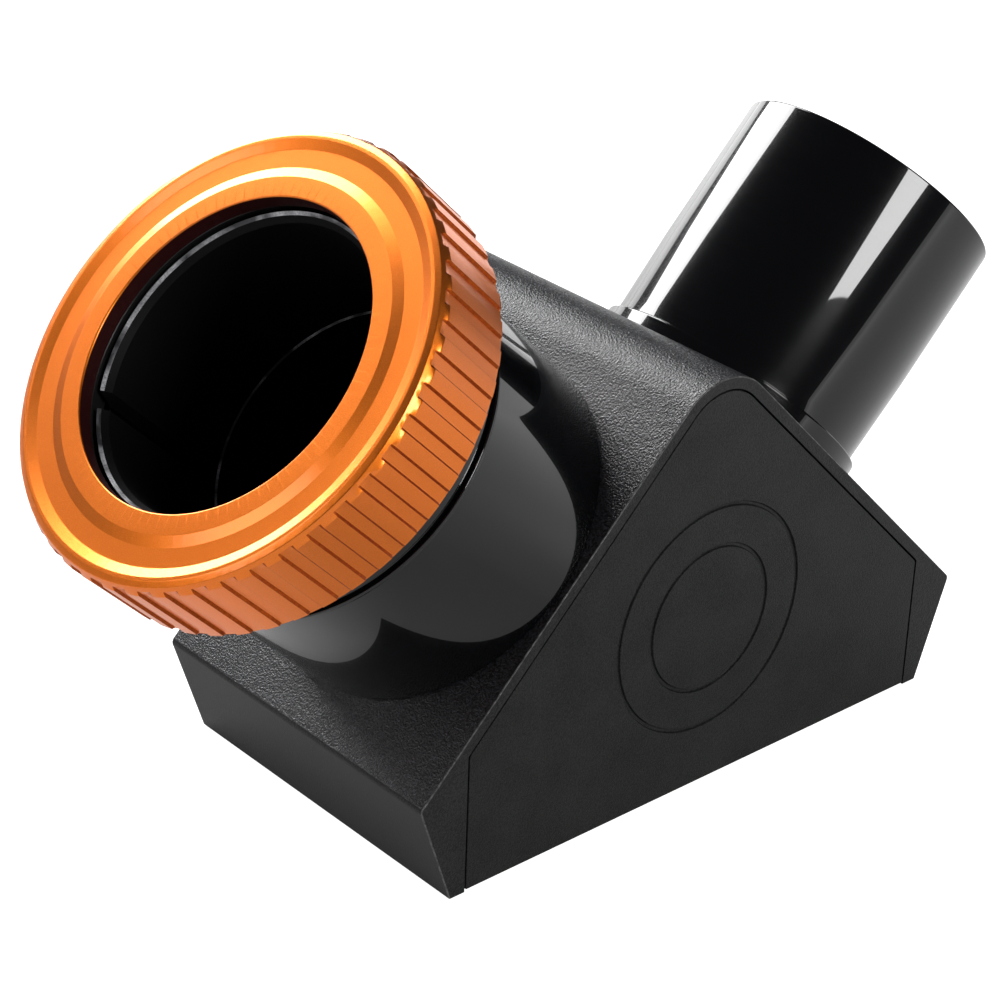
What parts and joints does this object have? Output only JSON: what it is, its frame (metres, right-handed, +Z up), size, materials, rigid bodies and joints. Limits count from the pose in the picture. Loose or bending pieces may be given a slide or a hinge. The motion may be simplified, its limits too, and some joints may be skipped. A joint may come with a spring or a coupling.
{
  "type": "mirror star diagonal",
  "caption": "Right-angle mirror diagonal for a telescope: prism-shaped body, plain nosepiece tube, and an eyepiece holder with a knurled twist-lock collar.",
  "frame": {"origin": "centre of the base face that the part stands on, below the point where the two tube axes cross", "axes": "+Z up from the base; +X towards the nosepiece, along the prism's long side; +Y across the width"},
  "size_m": [0.1906, 0.08, 0.1186],
  "materials": {
    "powder_coat": "fine textured black powder coat",
    "cover_satin": "satin charcoal, very fine grain",
    "base_black": "black, satin",
    "felt": "compressed felt",
    "mirror_coating": "first-surface reflective coating on glass",
    "rubber": "matt black",
    "blackened_steel": "blackened",
    "gloss_black": "black anodised, polished to a mirror gloss",
    "black_nylon": "semi-gloss black",
    "orange_anodised": "orange anodised, satin, fine bead-blast grain"
  },
  "bodies": {
    "housing": {"body_frame": "powder_coat", "side_cover_near": "cover_satin", "side_cover_far": "cover_satin", "base_plate": "base_black", "mirror_pad": "felt", "mirror": "mirror_coating", "mirror_gasket": "rubber", "base_screw_1": "blackened_steel", "base_screw_2": "blackened_steel", "base_screw_3": "blackened_steel", "base_screw_4": "blackened_steel", "eyepiece_holder": "gloss_black", "holder_grub_screw_near": "blackened_steel", "holder_grub_screw_far": "blackened_steel", "nosepiece": "gloss_black", "nosepiece_grub_screw_near": "blackened_steel", "nosepiece_grub_screw_far": "blackened_steel", "split_collet": "black_nylon", "drag_o_ring": "rubber", "stop_pin": "blackened_steel"},
    "slip": {"slip_ring": "black_nylon"},
    "collar": {"twist_collar": "orange_anodised"}
  },
  "joints": [
    {"name": "collar_advance", "type": "slide", "parent": "housing", "child": "slip", "axis": [0.7071, 0, -0.7071], "range_m": [0, 0.001]},
    {"name": "collar_twist", "type": "hinge", "parent": "slip", "child": "collar", "pos_m": [-0.06993, 0, 0.08513], "axis": [0.7071, 0, -0.7071], "range_deg": [0, 90]}
  ],
  "couplings": [
    {"joint": "collar_twist", "follows": "collar_advance", "rad_per_m": 1570.8}
  ]
}
